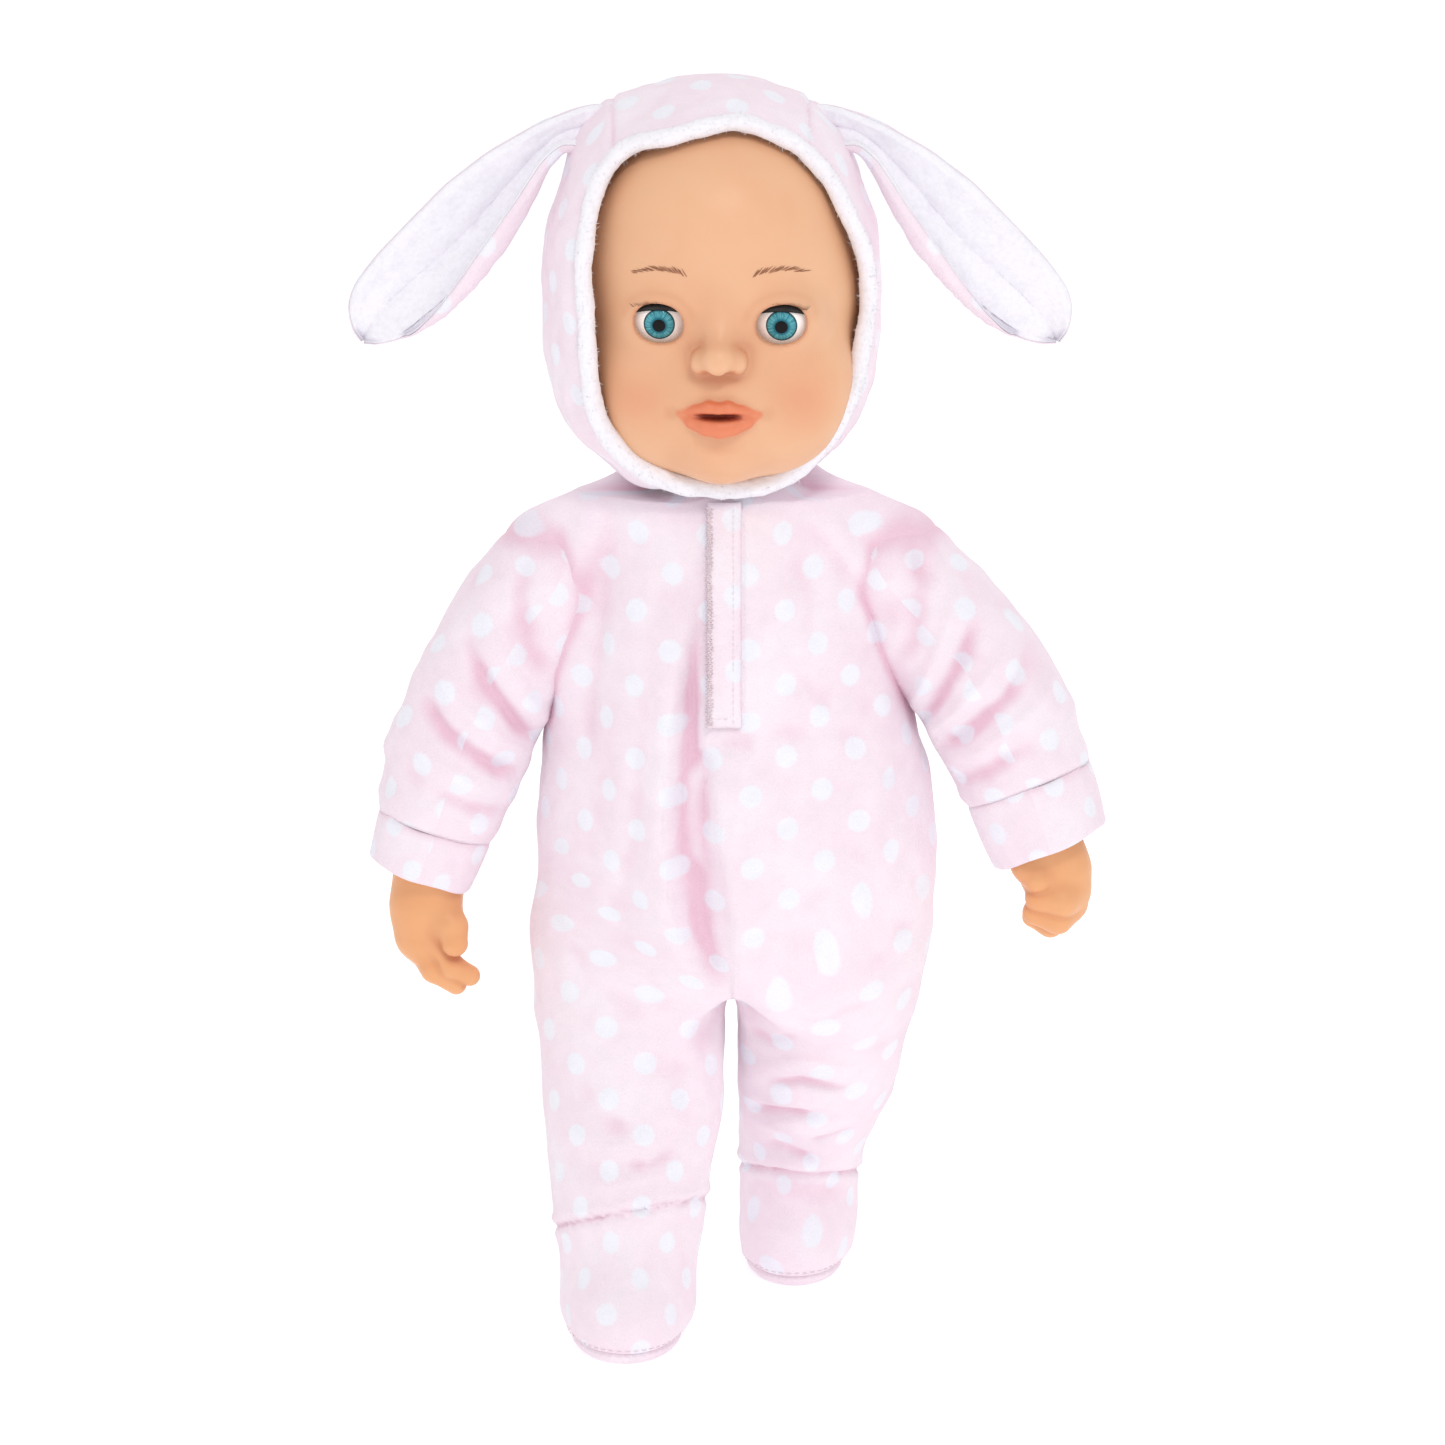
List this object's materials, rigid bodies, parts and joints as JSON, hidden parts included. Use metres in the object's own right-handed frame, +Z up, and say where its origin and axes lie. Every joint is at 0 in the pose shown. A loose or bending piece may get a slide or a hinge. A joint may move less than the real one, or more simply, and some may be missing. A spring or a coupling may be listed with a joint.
{
  "type": "interactive baby doll",
  "caption": "Standing baby doll in a dotted velour romper with a lop-eared hood, vinyl face and hands, sleeping eyes, jointed limbs and a sound box in its back.",
  "frame": {"origin": "on the floor under the middle of the doll", "axes": "+Z up, the doll faces -Y, and its left side is +X"},
  "size_m": [0.2315, 0.1208, 0.38],
  "materials": {
    "velour_pink": "pale pink velour with white dots",
    "plush_white": "short white plush pile",
    "fastening_tape": "hook-and-loop tape",
    "stuffing": "polyester fibre filling in a lining",
    "vinyl_skin": "soft satin vinyl, blushed",
    "eye_white": "glossy",
    "eye_iris": "printed teal",
    "eye_cornea": "clear moulded lens",
    "lash_black": "black fibre",
    "steel": "plain",
    "plastic_white": "fine texture",
    "plastic_grey": "satin",
    "battery_can": "printed sleeve, no lettering",
    "circuit_green": "solder mask",
    "speaker_black": "moulded frame and cone"
  },
  "bodies": {
    "torso": {"romper_torso": "velour_pink", "torso_stuffing": "stuffing", "neck_tie": "plastic_white", "loop_tape": "fastening_tape", "sensor_case": "plastic_grey", "battery_bay": "plastic_white", "panel_binding": "plush_white", "battery_1": "battery_can", "battery_2": "battery_can", "battery_3": "battery_can", "battery_contacts_top": "steel", "battery_contacts_bottom": "steel", "circuit_board": "circuit_green", "speaker": "speaker_black", "sound_box_cover": "plastic_white"},
    "head": {"head_shell": "vinyl_skin", "neck_flange": "vinyl_skin", "mouth_sensor": "plastic_grey", "eye_case_right": "plastic_white", "eye_case_left": "plastic_white", "hood_shell": "velour_pink", "hood_trim": "plush_white"},
    "placket": {"placket_flap": "velour_pink", "hook_tape": "fastening_tape"},
    "battery_door": {"battery_door": "plastic_white", "battery_screw": "steel"},
    "power_switch": {"power_switch": "plastic_grey"},
    "sensor_button": {"sensor_button": "plastic_white"},
    "eye_right": {"eyeball_right": "eye_white", "iris_right": "eye_iris", "cornea_right": "eye_cornea", "eyelid_right": "vinyl_skin", "lashes_right": "lash_black", "eye_weight_right": "steel"},
    "ear_right": {"ear_lining_right": "plush_white", "ear_back_right": "velour_pink"},
    "arm_right": {"sleeve_right": "velour_pink", "arm_stuffing_right": "stuffing", "sleeve_cuff_right": "velour_pink", "hand_right": "vinyl_skin"},
    "leg_right": {"romper_leg_right": "velour_pink", "leg_stuffing_right": "stuffing", "bootie_right": "velour_pink", "sole_right": "plush_white"},
    "eye_left": {"eyeball_left": "eye_white", "iris_left": "eye_iris", "cornea_left": "eye_cornea", "eyelid_left": "vinyl_skin", "lashes_left": "lash_black", "eye_weight_left": "steel"},
    "ear_left": {"ear_lining_left": "plush_white", "ear_back_left": "velour_pink"},
    "arm_left": {"sleeve_left": "velour_pink", "arm_stuffing_left": "stuffing", "sleeve_cuff_left": "velour_pink", "hand_left": "vinyl_skin"},
    "leg_left": {"romper_leg_left": "velour_pink", "leg_stuffing_left": "stuffing", "bootie_left": "velour_pink", "sole_left": "plush_white"}
  },
  "joints": [
    {"name": "head_turn", "type": "hinge", "parent": "torso", "child": "head", "pos_m": [0.001, 0.005, 0.262], "axis": [0, 0, 1], "range_deg": [-60, 60]},
    {"name": "eye_right_close", "type": "hinge", "parent": "head", "child": "eye_right", "pos_m": [-0.01785, -0.02369, 0.313], "axis": [0.9976, -0.0698, 0], "range_deg": [0, 58]},
    {"name": "eye_left_close", "type": "hinge", "parent": "head", "child": "eye_left", "pos_m": [0.01766, -0.02617, 0.313], "axis": [0.9976, -0.0698, 0], "range_deg": [0, 58]},
    {"name": "ear_right_flop", "type": "hinge", "parent": "head", "child": "ear_right", "pos_m": [-0.0375, 0.005, 0.37], "axis": [0.3998, 0, 0.9166], "range_deg": [-50, 50], "stiffness_Nm_per_rad": 0.01},
    {"name": "ear_left_flop", "type": "hinge", "parent": "head", "child": "ear_left", "pos_m": [0.0302, 0.005, 0.37], "axis": [0.3998, 0, -0.9166], "range_deg": [-50, 50], "stiffness_Nm_per_rad": 0.01},
    {"name": "shoulder_right", "type": "hinge", "parent": "torso", "child": "arm_right", "pos_m": [-0.05, 0.005, 0.228], "axis": [-1, 0, 0], "range_deg": [-40, 100]},
    {"name": "shoulder_left", "type": "hinge", "parent": "torso", "child": "arm_left", "pos_m": [0.05, 0.005, 0.228], "axis": [-1, 0, 0], "range_deg": [-40, 95]},
    {"name": "hip_right", "type": "hinge", "parent": "torso", "child": "leg_right", "pos_m": [-0.0276, 0.008, 0.113], "axis": [-1, 0, 0], "range_deg": [-40, 70]},
    {"name": "hip_left", "type": "hinge", "parent": "torso", "child": "leg_left", "pos_m": [0.0276, 0.008, 0.113], "axis": [-1, 0, 0], "range_deg": [-4, 110]},
    {"name": "placket_open", "type": "hinge", "parent": "torso", "child": "placket", "pos_m": [0.0056, -0.0383, 0.192], "axis": [0, 0.2238, 0.9746], "range_deg": [0, 90]},
    {"name": "battery_door_lift", "type": "slide", "parent": "torso", "child": "battery_door", "axis": [0, 0.9951, 0.0993], "range_m": [0, 0.03]},
    {"name": "power_switch_slide", "type": "slide", "parent": "torso", "child": "power_switch", "axis": [1, 0, 0], "range_m": [0, 0.005]},
    {"name": "belly_press", "type": "slide", "parent": "torso", "child": "sensor_button", "axis": [0, 1, 0], "range_m": [0, 0.0024], "stiffness_N_per_m": 400}
  ]
}
